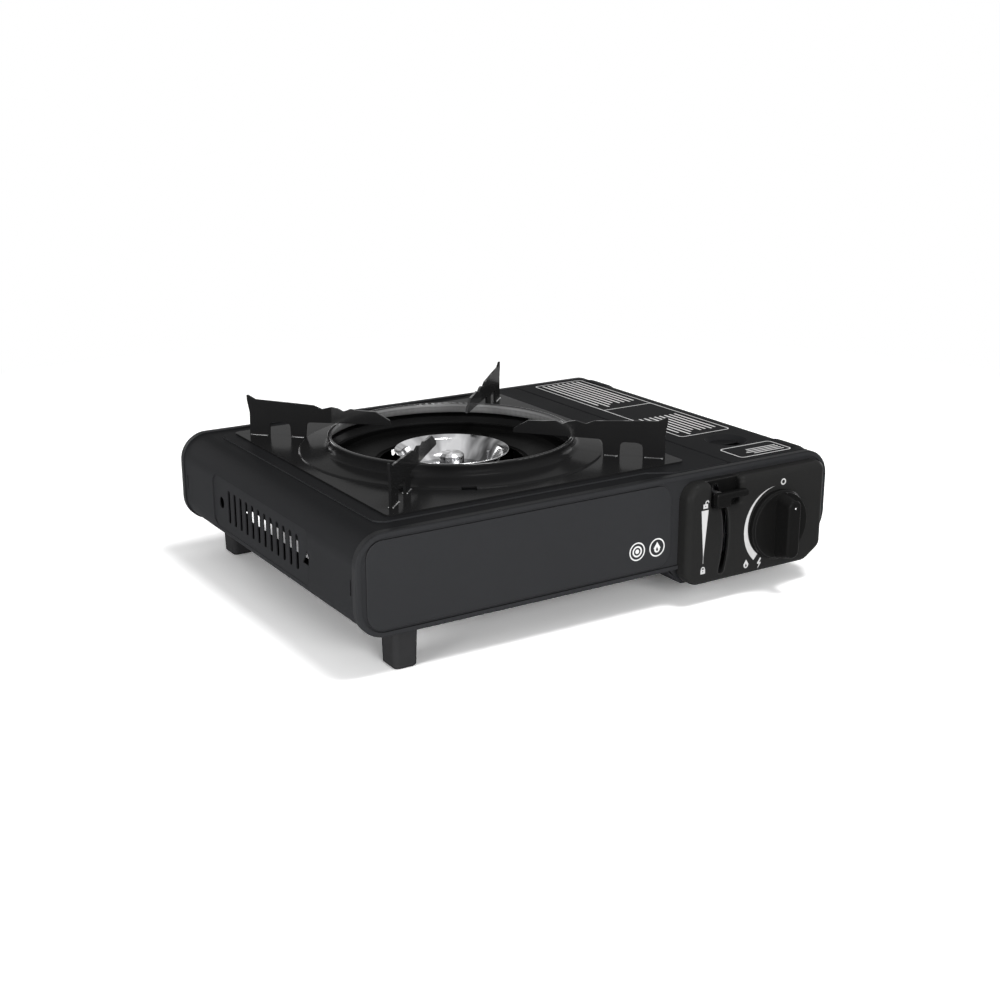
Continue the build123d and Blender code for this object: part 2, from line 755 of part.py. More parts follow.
jet_x = tube_mouth_x + 4
with BuildPart() as jet_nozzle:
    with BuildSketch(Plane.YZ.offset(jet_x + jet_tip)):
        with Locations((burner_y, tube_z)):
            RegularPolygon(jet_r, 6)
    extrude(amount=jet_length)
    with BuildSketch(Plane.YZ.offset(jet_x)):
        with Locations((burner_y, tube_z)):
            Circle(jet_r / 3)
    with BuildSketch(Plane.YZ.offset(jet_x + jet_tip)):
        with Locations((burner_y, tube_z)):
            Circle(jet_r * 0.6)
    loft()
save(jet_nozzle.part, "jet_nozzle")

block_left = block_centre[0] - block_size[0] / 2
with BuildPart() as gas_pipe:
    with BuildLine(Plane.XY.offset(tube_z)) as pipe_line:
        FilletPolyline(
            (jet_x + jet_tip + jet_length, burner_y), (pipe_x, burner_y), (pipe_x, gas_y), (block_left, gas_y),
            radius=pipe_bend,
        )
    with BuildSketch(Plane.YZ.offset(jet_x + jet_tip + jet_length)):
        with Locations((burner_y, tube_z)):
            Circle(pipe_r)
    sweep()
save(gas_pipe.part, "gas_pipe")

# ---- cartridge bay: bulkhead, seat, regulator ----
bulkhead_y = front_y + bulkhead_inset
seat_y = bulkhead_y + bulkhead_t + seat_t

with BuildPart() as bay_bulkhead:
    with BuildSketch(plane_y(bulkhead_y + bulkhead_t)):
        with BuildLine():
            bay_left = partition_x + sheet
            bay_right = tray_right - sheet
            Polyline(
                (bay_left, tray_floor), (bay_right - tray_corner, tray_floor),
                (bay_right, tray_floor + tray_corner), (bay_right, tray_wall_top),
                (bay_right - tray_corner, bulkhead_top), (bay_left, bulkhead_top), close=True,
            )
        make_face()
        with Locations((cartridge_x, cartridge_z)):
            Circle(neck_r, mode=Mode.SUBTRACT)
    extrude(amount=bulkhead_t)
save(bay_bulkhead.part, "bay_bulkhead")

with BuildPart() as collar_seat:
    with BuildSketch(plane_y(seat_y)):
        with Locations((cartridge_x, cartridge_z)):
            Circle(seat_r)
            Circle(seal_r, mode=Mode.SUBTRACT)
    extrude(amount=seat_t)
    # key that only lets the cartridge seat with the notch of its collar on top
    with BuildSketch(plane_y(seat_y + key_size[1])):
        with Locations((cartridge_x, cartridge_z + seat_r - 1.5)):
            Rectangle(key_size[0], 3)
    extrude(amount=key_size[1])
save(collar_seat.part, "collar_seat")

with BuildPart() as seat_seal:
    with BuildSketch(plane_y(seat_y)):
        with Locations((cartridge_x, cartridge_z)):
            Circle(seal_r)
            Circle(seal_bore_r, mode=Mode.SUBTRACT)
    extrude(amount=seat_t)
save(seat_seal.part, "seat_seal")

block_back = front_y + block_front + block_length
with BuildPart() as regulator_body:
    with BuildSketch(plane_y(block_back)):
        with Locations(block_centre):
            RectangleRounded(*block_size, 5)
    extrude(amount=block_length)
    with BuildSketch(plane_y(front_y + block_front)):
        with Locations((knob_x, knob_z)):
            Circle(boss_r)
    extrude(amount=block_front + boss_front)
    with BuildSketch(plane_y(bulkhead_y + bulkhead_t)):
        with Locations((cartridge_x, cartridge_z)):
            Circle(neck_r)
    extrude(amount=bulkhead_y + bulkhead_t - block_back)
    with BuildSketch(plane_y(front_y + spindle_in)):
        with Locations((knob_x, knob_z)):
            Circle(spindle_r + running)
    extrude(amount=spindle_in + boss_front, mode=Mode.SUBTRACT)
save(regulator_body.part, "regulator_body")

cover_z = block_centre[1] + block_size[1] / 2
cover_at = (block_centre[0], front_y + block_front + block_length / 2 + 4)
with BuildPart() as regulator_cover:
    with BuildSketch(Plane.XY.offset(cover_z)):
        with Locations(cover_at):
            Circle(cover_r)
    extrude(amount=cover_t)
    chamfer(regulator_cover.edges().group_by(Axis.Z)[-1], 2)
save(regulator_cover.part, "regulator_cover")

# ---- control panel ----
panel_back = front_y + face_set


def fascia_outline(inset=0.0):
    cut_x, cut_z = fascia_cut
    with BuildSketch(mode=Mode.PRIVATE) as outline:
        with BuildLine() as edge:
            Polyline(
                (fascia_left, fascia_bottom), (fascia_right - cut_x, fascia_bottom),
                (fascia_right, fascia_bottom + cut_z), (fascia_right, fascia_top),
                (fascia_left, fascia_top), close=True,
            )
        make_face(edge.edges())
        fillet(outline.vertices().group_by(Axis.X)[0], fascia_r)
        fillet(outline.vertices().sort_by(Axis.X)[-2:].sort_by(Axis.Y)[-1:], fascia_top_right_r)
        cut_corners = outline.vertices().sort_by_distance((fascia_right, fascia_bottom))[:2]
        fillet(cut_corners, fascia_cut_r)
    add(offset(outline.sketch, amount=-inset, mode=Mode.PRIVATE) if inset else outline.sketch)


def recess_outline():
    with Locations((recess_left, recess_bottom)):
        RectangleRounded(
            recess_right - recess_left, body_height, recess_r, align=(Align.MIN, Align.MIN)
        )


def recess_backing():
    # wall of the recess, kept inside the outline of the panel
    fascia_outline(fascia_wall)
    with Locations((recess_left - fascia_wall, recess_bottom - fascia_wall)):
        Rectangle(
            recess_right - recess_left + 2 * fascia_wall, body_height,
            align=(Align.MIN, Align.MIN), mode=Mode.INTERSECT,
        )


slot_width_lever = stem_size[0] + 2 * slot_gap
slot_reach = math.degrees(slot_reach_end / lever_r)

with BuildPart() as control_panel:
    slab(fascia_y, panel_back, fascia_outline)
    slab(fascia_y + fascia_wall, panel_back, lambda: fascia_outline(fascia_wall), Mode.SUBTRACT)
    slab(fascia_y + fascia_wall, fascia_y + fascia_wall + recess_depth, recess_backing)
    slab(fascia_y, fascia_y + recess_depth, recess_outline, Mode.SUBTRACT)
    mouth_corners = [
        control_panel.edges().filter_by(Axis.Y).sort_by_distance((corner_x, fascia_y, fascia_top))[0]
        for corner_x in (recess_left, recess_right)
    ]
    fillet(mouth_corners, shoulder_r)
    fillet(control_panel.faces().sort_by(Axis.Y)[0].edges(), fascia_round)
    # slot of the lock lever, on an arc about its pivot
    with BuildSketch(plane_y(panel_back)):
        with BuildLine() as slot_line:
            CenterArc(
                (lever_x, lever_z), lever_r, lever_rest - lever_travel - slot_reach, lever_travel + 2 * slot_reach
            )
        SlotArc(slot_line.edges()[0], slot_width_lever)
        with Locations((knob_x, knob_z)):
            Circle(boss_r + 1)
    extrude(amount=fascia_proud + face_set, mode=Mode.SUBTRACT)
    # the panel steps over the lower hem of the body
    with BuildSketch(plane_y(panel_back)):
        body_outline(-seam)
        body_outline(hem_width + seam, Mode.SUBTRACT)
    extrude(amount=face_set + seam, mode=Mode.SUBTRACT)
save(control_panel.part, "control_panel")

# ---- knob and spindle ----
knob_back = fascia_y - knob_gap
knob_front = fascia_y - knob_proud


with BuildPart() as knob:
    with BuildSketch(plane_y(knob_back)):
        with Locations((knob_x, knob_z)):
            Circle(knob_r)
    extrude(amount=knob_disc)
    chamfer(knob.edges().group_by(Axis.Y)[0], 1.2)
    with BuildSketch(plane_y(knob_back - knob_disc)):
        with Locations((knob_x, knob_z)):
            RectangleRounded(ridge_width, 2 * knob_r - 2, ridge_end)
    with BuildSketch(plane_y(knob_front)):
        with Locations((knob_x, knob_z)):
            RectangleRounded(ridge_width, 2 * knob_r - 2 - 2 * ridge_taper, ridge_end)
    loft()
    fillet(knob.faces().sort_by(Axis.Y)[0].edges(), ridge_edge)
    with BuildSketch(plane_y(knob_back)):
        with Locations((knob_x, knob_z)):
            Circle(spindle_r)
    extrude(amount=knob_proud - knob_disc, mode=Mode.SUBTRACT)
save(knob.part, "knob")

with BuildPart() as valve_spindle:
    spindle_front = knob_back - (knob_proud - knob_disc)
    with BuildSketch(plane_y(front_y + spindle_in - 1)):
        with Locations((knob_x, knob_z)):
            Circle(spindle_r)
    extrude(amount=front_y + spindle_in - 1 - spindle_front)
save(valve_spindle.part, "valve_spindle")

# ---- lock lever, its cam and pin ----
lever_y = front_y + lever_front
stem_x, stem_z = polar(lever_r, lever_rest)

with BuildPart() as lever_arm:
    with BuildSketch(plane_y(lever_y + lever_t)):
        with Locations(Location((lever_x, lever_z, 0), (0, 0, lever_rest))):
            with Locations((lever_r / 2, 0)):
                SlotCenterToCenter(lever_r, lever_width)
            Circle(eye_r)
            Circle(pivot_r + running, mode=Mode.SUBTRACT)
    extrude(amount=lever_t)
    with BuildSketch(plane_y(lever_y)):
        with Locations(Location((lever_x + stem_x, lever_z + stem_z, 0), (0, 0, lever_rest))):
            RectangleRounded(stem_size[0], stem_size[1], 1)
    extrude(amount=lever_y - fascia_y + button_gap + stem_in)
save(lever_arm.part, "lever_arm")

with BuildPart() as lever_button:
    button_back = fascia_y - button_gap
    block_x = lever_x + stem_x - button_offset[0]
    block_z = lever_z + stem_z - button_offset[1]
    with BuildSketch(plane_y(button_back)):
        with Locations((block_x, block_z)):
            RectangleRounded(*button_block, button_round)
        with Locations((block_x - button_block[0] / 2, block_z + button_block[1] / 2)):
            RectangleRounded(*button_tab, button_tab[1] / 3, align=(Align.MIN, Align.MAX))
    extrude(amount=button_t)
    fillet(lever_button.faces().sort_by(Axis.Y)[0].edges(), button_edge)
    with BuildSketch(plane_y(button_back)):
        with Locations(Location((lever_x + stem_x, lever_z + stem_z, 0), (0, 0, lever_rest))):
            RectangleRounded(stem_size[0], stem_size[1], 1)
    extrude(amount=stem_in, mode=Mode.SUBTRACT)
save(lever_button.part, "lever_button")

cam_front = lever_y + lever_t
follower_arc = math.radians(lever_travel) * follower_r
cam_slope = pusher_travel / follower_arc
cam_standoff = (rod_r + cam_gap) * math.hypot(1, cam_slope)
follower_y = cam_front + rod_r + cam_gap + pusher_travel
cam_depth = follower_y + cam_standoff + 3 - cam_front
cam_middle = follower_angle + lever_travel / 2

with BuildPart() as lever_cam:
    with BuildSketch(plane_y(cam_front + cam_depth)):
        with BuildLine() as cam_edge:
            start = follower_angle - cam_margin
            size = lever_travel + 2 * cam_margin
            outer = CenterArc((lever_x, lever_z), cam_outer_r, start, size)
            inner = CenterArc((lever_x, lever_z), cam_inner_r, start, size)
            Line(outer @ 0, inner @ 0)
            Line(outer @ 1, inner @ 1)
        make_face()
    extrude(amount=cam_depth)
    # sloping groove for the follower: nearer the front the higher it is on the cam
    out_x, out_z = polar(1, cam_middle)
    groove_plane = Plane(
        origin=(lever_x + out_x * cam_inner_r / 2, 0, lever_z + out_z * cam_inner_r / 2),
        x_dir=(-out_z, 0, out_x), z_dir=(out_x, 0, out_z),
    )
    reach = follower_arc
    deep = follower_y + cam_standoff - pusher_travel / 2
    with BuildSketch(groove_plane):
        with BuildLine():
            Polyline(
                (-reach, -(cam_front - 1)), (reach, -(cam_front - 1)),
                (reach, -(deep - reach * cam_slope)), (-reach, -(deep + reach * cam_slope)), close=True,
            )
        make_face()
    extrude(amount=cam_outer_r - cam_wall - cam_inner_r / 2, mode=Mode.SUBTRACT)
save(lever_cam.part, "lever_cam")

with BuildPart() as lever_pivot_pin:
    with BuildSketch(plane_y(lever_y + lever_t + 0.3)):
        with Locations((lever_x, lever_z)):
            Circle(pivot_r)
    extrude(amount=lever_y + lever_t + 0.3 - (face_front + sheet - field_rise))
    with BuildSketch(plane_y(lever_y + lever_t + 0.3 + 1.5)):
        with Locations((lever_x, lever_z)):
            Circle(pivot_r + 2)
    extrude(amount=1.5)
save(lever_pivot_pin.part, "lever_pivot_pin")

# ---- cartridge pusher ----
follower_end = lever_x + polar(cam_outer_r - cam_wall - 1, follower_angle)[0]
pad_front = seat_y + cartridge_length + pusher_travel

with BuildPart() as pusher_rod:
    with BuildLine(Plane.XY.offset(follower_z)) as rod_line:
        FilletPolyline((follower_end, follower_y), (rod_x, follower_y), (rod_x, pad_front), radius=4)
    with BuildSketch(Plane.YZ.offset(follower_end)):
        with Locations((follower_y, follower_z)):
            Circle(rod_r)
    sweep()
save(pusher_rod.part, "pusher_rod")

with BuildPart() as cartridge_pusher:
    with BuildSketch(plane_y(pad_front + pad_t)):
        with Locations((cartridge_x, cartridge_z)):
            Circle(pad_r)
        with Locations((rod_x - 6, follower_z)):
            Rectangle(cartridge_x - rod_x + 6, arm_height, align=(Align.MIN, Align.CENTER))
    extrude(amount=pad_t)
save(cartridge_pusher.part, "cartridge_pusher")

for guide_name, guide_y in (("front", front_y + guide_inset), ("rear", back_y - guide_inset)):
    with BuildPart() as guide:
        with BuildSketch(plane_y(guide_y + guide_t)):
            with Locations((rod_x, base_top)):
                Rectangle(guide_width, follower_z + 6 - base_top, align=(Align.CENTER, Align.MIN))
            with Locations((rod_x, follower_z)):
                Circle(rod_r + running, mode=Mode.SUBTRACT)
        extrude(amount=guide_t)
    save(guide.part, f"rod_guide_{guide_name}")

# ---- igniter ----
piezo_front_y = front_y + piezo_front
with BuildPart() as piezo_igniter:
    with BuildSketch(plane_y(bulkhead_y)):
        with Locations((piezo_x, piezo_z)):
            Circle(piezo_r)
    extrude(amount=bulkhead_y - piezo_front_y)
    chamfer(piezo_igniter.edges().group_by(Axis.Y)[0], 1)
save(piezo_igniter.part, "piezo_igniter")

with BuildPart() as electrode_insulator:
    with BuildSketch(side_plane.offset(burner_y - electrode_at[1])):
        with BuildLine():
            at = electrode_at[0] - burner_x
            Polyline(
                (at + wire_r, insulator_bottom), (at + insulator_r, insulator_bottom),
                (at + insulator_r, insulator_top - 2), (at + insulator_r * 0.6, insulator_top),
                (at + wire_r, insulator_top), close=True,
            )
        make_face()
    revolve(axis=Axis((electrode_at[0], electrode_at[1], 0), (0, 0, 1)))
save(electrode_insulator.part, "electrode_insulator")

with BuildPart() as electrode_wire:
    with BuildSketch(Plane.XY.offset(insulator_bottom - 2)):
        with Locations(electrode_at):
            Circle(wire_r)
    extrude(amount=wire_top - insulator_bottom + 2)
save(electrode_wire.part, "electrode_wire")

with BuildPart() as igniter_lead:
    lead_start = Vector(electrode_at[0], electrode_at[1], insulator_bottom - 2)
    with BuildLine() as lead_line:
        FilletPolyline(
            lead_start, (electrode_at[0], electrode_at[1], lead_z), (pipe_x - 8, gas_y, lead_z),
            (piezo_x - piezo_r, gas_y, lead_z), radius=[9, 12],
        )
    with BuildSketch(Plane.XY.offset(lead_start.Z)):
        with Locations(electrode_at):
            Circle(lead_r)
    sweep()
save(igniter_lead.part, "igniter_lead")

# ---- screws ----
with BuildPart() as cover_screws:
    with Locations((cover_at[0], cover_at[1], cover_z + cover_t)):
        with PolarLocations(cover_r - screw_head_r - 1, 4, start_angle=45):
            Cylinder(screw_head_r, screw_head, align=(Align.CENTER, Align.CENTER, Align.MIN))
save(cover_screws.part, "cover_screws")

with BuildPart() as base_screws:
    bracket_row = housing_r + 4 + bracket_foot / 2
    with Locations((burner_x, burner_y, base_z)):
        with GridLocations(bracket_width / 2, 2 * bracket_row, 2, 2):
            Cylinder(screw_head_r, screw_head, align=(Align.CENTER, Align.CENTER, Align.MAX))
save(base_screws.part, "base_screws")
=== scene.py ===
import json
import math

import bpy
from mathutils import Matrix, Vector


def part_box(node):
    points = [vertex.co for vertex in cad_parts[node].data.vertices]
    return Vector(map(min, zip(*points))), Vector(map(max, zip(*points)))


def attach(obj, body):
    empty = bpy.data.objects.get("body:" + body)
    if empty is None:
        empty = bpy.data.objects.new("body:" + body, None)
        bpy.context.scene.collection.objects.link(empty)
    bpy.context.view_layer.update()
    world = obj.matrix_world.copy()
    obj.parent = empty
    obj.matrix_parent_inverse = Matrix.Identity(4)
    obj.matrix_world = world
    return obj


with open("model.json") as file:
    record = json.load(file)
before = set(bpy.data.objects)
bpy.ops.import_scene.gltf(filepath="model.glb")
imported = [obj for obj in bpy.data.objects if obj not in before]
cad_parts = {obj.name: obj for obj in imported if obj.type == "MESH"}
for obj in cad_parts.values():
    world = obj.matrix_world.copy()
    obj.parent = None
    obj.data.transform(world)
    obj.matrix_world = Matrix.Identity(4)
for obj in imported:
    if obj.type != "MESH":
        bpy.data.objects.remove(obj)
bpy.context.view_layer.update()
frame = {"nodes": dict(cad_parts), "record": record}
nodes = frame["nodes"]
mm = 0.001
print("frame loaded,", len(nodes), "nodes")


def middleAndHalf(name):
    # of a CAD piece, in millimetres to a tenth: the facets of a round piece stop a little short
    low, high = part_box(name)
    middle = [round((a + b) / 2 / mm, 1) for a, b in zip(low, high)]
    half = [round((b - a) / 2 / mm, 1) for a, b in zip(low, high)]
    return middle, half


def lowest(name, axis):
    return round(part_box(name)[0][axis] / mm, 1)


def highest(name, axis):
    return round(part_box(name)[1][axis] / mm, 1)


acrossAxis, alongAxis, upAxis = 0, 1, 2
burnerAxis = middleAndHalf("pan_support_plate")[0]
plateTop = lowest("support_fin_front_left", upAxis)  # the fins stand on the plate


# ---- node maths ----
class Signal:
    # a socket that can stand in a sum: each operator adds its Math node
    def __init__(self, graph, socket):
        self.graph = graph
        self.socket = socket

    def calc(self, operation, *others):
        values = dict(enumerate((self, *others)))
        return self.graph.node("ShaderNodeMath", {"operation": operation}, values)

    def __add__(self, other):
        return self.calc("ADD", other)

    def __sub__(self, other):
        return self.calc("SUBTRACT", other)

    def __rsub__(self, other):
        return self.graph.node("ShaderNodeMath", {"operation": "SUBTRACT"}, {0: other, 1: self})

    def __neg__(self):
        return self.calc("MULTIPLY", -1.0)

    def __mul__(self, other):
        return self.calc("MULTIPLY", other)

    def __truediv__(self, other):
        return self.calc("DIVIDE", other)

    __radd__ = __add__
    __rmul__ = __mul__

    def smaller(self, other):
        return self.calc("MINIMUM", other)

    def larger(self, other):
        return self.calc("MAXIMUM", other)

    def size(self):
        return self.calc("ABSOLUTE")

    def root(self):
        return self.calc("SQRT")

    def clipped(self):
        return self.graph.node("ShaderNodeClamp", {}, {"Value": self})

    def fraction(self):
        return self.calc("FRACT")

    def over(self, limit, sharp=1.0):
        # rises from 0 to 1 beyond a limit
        return ((self - limit) * sharp).clipped()

    def under(self, limit, sharp=1.0):
        return ((limit - self) * sharp).clipped()

    def within(self, low, high, sharp=8.0):
        # 1 between two values, 0 outside them
        return self.over(low, sharp) * self.under(high, sharp)


class Graph:
    # the nodes of a material or of the world
    def __init__(self, tree):
        self.tree = tree

    def node(self, kind, settings, sockets, out=0):
        made = self.tree.nodes.new(kind)
        for setting, value in settings.items():
            setattr(made, setting, value)
        for socket, value in sockets.items():
            if isinstance(value, Signal):
                self.tree.links.new(value.socket, made.inputs[socket])
            else:
                made.inputs[socket].default_value = value
        return Signal(self, made.outputs[out])

    def show(self, signal, output):
        self.tree.links.new(signal.socket, self.tree.nodes[output].inputs["Surface"])


class Finish(Graph):
    # one material: its Principled shader and whatever feeds it
    def __init__(self, name, **fixed):
        self.material = bpy.data.materials.new(name)
        self.material.use_nodes = True
        super().__init__(self.material.node_tree)
        self.shader = self.tree.nodes["Principled BSDF"]
        for socket, value in fixed.items():
            self.shader.inputs[socket.replace("_", " ")].default_value = value

    def feed(self, socket, signal):
        self.tree.links.new(signal.socket, self.shader.inputs[socket])

    def place(self):
        # where a point is on the piece, in millimetres
        coordinates = self.node("ShaderNodeTexCoord", {}, {}, "Object")
        return self.node("ShaderNodeVectorMath", {"operation": "SCALE"}, {0: coordinates, "Scale": 1 / mm})

    def facing(self):
        # how far the surface faces up, on the piece itself
        normal = self.node("ShaderNodeTexCoord", {}, {}, "Normal")
        return self.node("ShaderNodeSeparateXYZ", {}, {0: normal}, "Z")

    def edges(self, width, gain):
        # 1 along the edges of a moulding, 0 on its faces
        rounded = self.node("ShaderNodeBevel", {"samples": 6}, {"Radius": width * mm})
        sockets = {0: rounded, 1: self.node("ShaderNodeNewGeometry", {}, {}, "Normal")}
        along = self.node("ShaderNodeVectorMath", {"operation": "DOT_PRODUCT"}, sockets, "Value")
        return along.under(1.0, gain)

    def axes(self, place):
        return [self.node("ShaderNodeSeparateXYZ", {}, {0: place}, axis) for axis in "XYZ"]

    def noise(self, place, scale, detail=2.0):
        return self.node("ShaderNodeTexNoise", {}, {"Vector": place, "Scale": scale, "Detail": detail}, "Fac")

    def blend(self, amount, first, second):
        # the Mix node's colours are its sockets 6 and 7 and its output 2
        return self.node("ShaderNodeMix", {"data_type": "RGBA"}, {0: amount, 6: first, 7: second}, 2)

    def remap(self, signal, low, high, newLow, newHigh):
        return self.node("ShaderNodeMapRange", {}, {0: signal, 1: low, 2: high, 3: newLow, 4: newHigh})

    def bump(self, height, depth, edge=0.3):
        # skin of the surface, over edges broken by a small radius
        rounded = self.node("ShaderNodeBevel", {"samples": 4}, {"Radius": edge * mm})
        sockets = {"Height": height, "Distance": depth * mm, "Normal": rounded}
        self.feed("Normal", self.node("ShaderNodeBump", {}, sockets))

    def coat(self, weight, rough):
        # a clear coat, thick in some places and missing in others
        self.feed("Coat Weight", weight)
        self.shader.inputs["Coat Roughness"].default_value = rough


def grey(level, tint=(1.0, 1.0, 1.0)):
    return (level * tint[0], level * tint[1], level * tint[2], 1.0)


def solid(colour, share=1.0):
    return tuple(share * c for c in colour) + (1.0,)


# ---- finishes ----
noiseSpread = (0.3, 0.7)  # noise seldom leaves this
paintCloud = {"scale": 0.02, "detail": 4.0}

bodyPaint = {
    "dark": 0.023, "pale": 0.027, "tint": (0.97, 0.99, 1.05),
    "peelScale": 0.9, "peelDepth": 0.012, "roughLow": 0.36, "roughHigh": 0.44, "gloss": 0.002,
    # the last entry on the next line is painted shade: how much darker the upward faces are
    "edgeRough": 0.3, "edgeCoat": 0.16, "step": (-0.85, -0.1), "stepCoat": 0.32, "topShade": 0.6,
}


def paintBase(name, paint):
    # stoved paint: a fine skin, slightly uneven shine
    finish = Finish(name, Specular_IOR_Level=paint["gloss"])
    place = finish.place()
    cloud = finish.noise(place, paintCloud["scale"], paintCloud["detail"])
    finish.feed("Roughness", finish.remap(cloud, *noiseSpread, paint["roughLow"], paint["roughHigh"]))
    finish.bump(finish.noise(place, paint["peelScale"]), paint["peelDepth"])
    colour = finish.blend(cloud, grey(paint["dark"], paint["tint"]), grey(paint["pale"], paint["tint"]))
    # painted shade: the colour darkens where the surface faces up, standing in for the weaker light on the
    # tops
    if "topShade" in paint:
        colour = finish.blend(finish.facing().clipped() * paint["topShade"], colour, grey(0.0))
    return finish, place, colour


def makeBodyPaint():
    # the step just below the raised top is burnished
    finish, place, colour = paintBase("bodyPaint", bodyPaint)
    finish.feed("Base Color", colour)
    x, y, z = finish.axes(place)
    step = (z - highest("body_wrap", upAxis)).within(*bodyPaint["step"])
    finish.coat(step * bodyPaint["stepCoat"], bodyPaint["edgeRough"])
    return finish


panelPlastic = {
    "dark": 0.013, "pale": 0.016, "tint": (1.0, 1.0, 0.99),
    "peelScale": 2.2, "peelDepth": 0.02, "roughLow": 0.3, "roughHigh": 0.38, "gloss": 0.016,
    # next line: the button's pocket and slot, darkened there as painted shade
    "recess": ((79.0, 51.0), (13.0, 28.0), 2.0), "recessDepth": 1.2, "recessShade": 0.004,
    "edgeWidth": 2.0, "edgeGain": 2.0, "edgeRough": 0.25,
}

# prints of the control panel, in millimetres across and up
knobMiddle = middleAndHalf("knob")[0]
prints = {
    "faceDepth": 0.6, "softness": 0.16, "white": 0.78,
    "openLock": (62.9, 65.3), "openLift": 1.2, "closedLock": (62.7, 23.2),
    "wedgeTop": 61.8, "wedgeFoot": 30.5, "wedgeHalf": 2.75, "wedgeMiddle": 62.6,
    "hairTop": 33.0, "hairFoot": 27.6, "hairHalf": 0.13,
    "offRing": ((125.4, 70.2), 1.65, 0.42),
    "dialCentre": (knobMiddle[acrossAxis], knobMiddle[upAxis]),
    "dialRadius": 25.2, "dialHalf": 2.3, "dialFrom": -0.87, "dialTo": 1.45,
    "flame": (97.6, 20.8), "spark": (108.4, 19.4),
}

# shapes of the small signs, from the middle of each
lockSign = {
    "block": ((0.0, -0.9), (1.8, 1.4), 0.3), "keyhole": ((0.0, -0.8), 0.42),
    "bow": 1.15, "line": 0.34, "bowRise": 0.8, "bowLift": 0.35, "bowFrom": 0.6,
    "legRise": 0.5, "legHalf": 0.7, "stretch": 0.3,
}
flameSign = {
    "belly": ((0.0, -0.9), 1.8), "slope": 1.5, "tip": 2.9, "tipFrom": -0.5,
    "core": ((0.1, -1.3), 0.62), "coreSlope": 2.0, "coreTip": 0.4, "coreFrom": -1.2,
}
# start, end, half width, taper
sparkStrokes = (
    ((0.9, 2.9), (-0.9, 0.2), 0.62, 0.0),
    ((-0.9, 0.2), (0.9, 0.1), 0.45, 0.0),
    ((0.8, 0.1), (-0.9, -3.2), 0.62, 0.5),
)


def discDistance(x, z, centre, radius):
    across = x - centre[0]
    up = z - centre[1]
    return (across * across + up * up).root() - radius


def boxDistance(x, z, centre, half):
    return ((x - centre[0]).size() - half[0]).larger((z - centre[1]).size() - half[1])


def roundBoxDistance(x, z, centre, half, corner):
    across = (x - centre[0]).size() - (half[0] - corner)
    up = (z - centre[1]).size() - (half[1] - corner)
    outside = (across.larger(0.0) * across.larger(0.0) + up.larger(0.0) * up.larger(0.0)).root()
    return outside + across.larger(up).smaller(0.0) - corner


def ringDistance(x, z, centre, radius, half):
    return discDistance(x, z, centre, radius).size() - half


def lockDistance(x, z, at, lift):
    # a padlock: a block with a bow over it, lifted and set aside when it is open
    across, up = x - at[0], z - at[1]
    stretch = lift * lockSign["stretch"]
    block = roundBoxDistance(across, up, *lockSign["block"])
    hole = discDistance(across, up, *lockSign["keyhole"])
    top = (lift, lockSign["bowRise"] + lift * lockSign["bowLift"])
    bow = ringDistance(across, up, top, lockSign["bow"], lockSign["line"])
    bow = bow.larger(lockSign["bowFrom"] + stretch - up)
    foot = (lift - lockSign["bow"], lockSign["legRise"])
    leg = boxDistance(across, up, foot, (lockSign["line"], lockSign["legHalf"] + stretch))
    return block.larger(-hole).smaller(bow).smaller(leg)


def wedgeDistance(x, z):
    # thick at the top, running out into a hairline
    share = (z - prints["wedgeFoot"]) / (prints["wedgeTop"] - prints["wedgeFoot"])
    side = (x - prints["wedgeMiddle"]).size() - share * prints["wedgeHalf"]
    wedge = side.larger(z - prints["wedgeTop"]).larger(prints["wedgeFoot"] - z)
    middle = (prints["hairTop"] + prints["hairFoot"]) / 2
    half = (prints["hairHalf"], (prints["hairTop"] - prints["hairFoot"]) / 2)
    return wedge.smaller(boxDistance(x, z, (prints["wedgeMiddle"], middle), half))


def dialDistance(x, z, finish):
    # a sickle round the knob, a point at the top and widest at the lower left
    across = x - prints["dialCentre"][0]
    up = z - prints["dialCentre"][1]
    turn = finish.node("ShaderNodeMath", {"operation": "ARCTAN2"}, {0: up, 1: -across})
    share = finish.remap(turn, prints["dialFrom"], prints["dialTo"], 1.0, 0.0)
    wide = ringDistance(x, z, prints["dialCentre"], prints["dialRadius"], 0.0) - share * prints["dialHalf"]
    ends = (prints["dialFrom"] - turn).larger(turn - prints["dialTo"])
    return wide.larger(ends * prints["dialRadius"]).larger(across)


def flameDistance(x, z, at, scale=1.0):
    # a drop with a smaller drop cut out of its foot
    across, up = (x - at[0]) / scale, (z - at[1]) / scale
    side = across.size()
    body = discDistance(across, up, *flameSign["belly"])
    tip = (side * flameSign["slope"] + up - flameSign["tip"]).larger(flameSign["tipFrom"] - up)
    core = discDistance(across, up, *flameSign["core"])
    coreTip = (side * flameSign["coreSlope"] + up - flameSign["coreTip"]).larger(flameSign["coreFrom"] - up)
    return body.smaller(tip).larger(-core.smaller(coreTip)) * scale


def strokeDistance(x, z, start, end, half, taper):
    # a straight stroke from point to point, thinner towards its end
    run = (end[0] - start[0], end[1] - start[1])
    length = run[0] * run[0] + run[1] * run[1]
    along = (((x - start[0]) * run[0] + (z - start[1]) * run[1]) / length).larger(0.0).smaller(1.0)
    across = x - start[0] - along * run[0]
    up = z - start[1] - along * run[1]
    return (across * across + up * up).root() + along * taper - half


def sparkDistance(x, z, at):
    # a lightning stroke in three parts
    top, bar, foot = [strokeDistance(x - at[0], z - at[1], *stroke) for stroke in sparkStrokes]
    return top.smaller(bar).smaller(foot)


def inked(distance, softness=prints["softness"]):
    return (0.5 - distance / softness).clipped()


def makePanelPlastic():
    finish, place, colour = paintBase("panelPlastic", panelPlastic)
    finish.feed("Base Color", colour)
    return finish


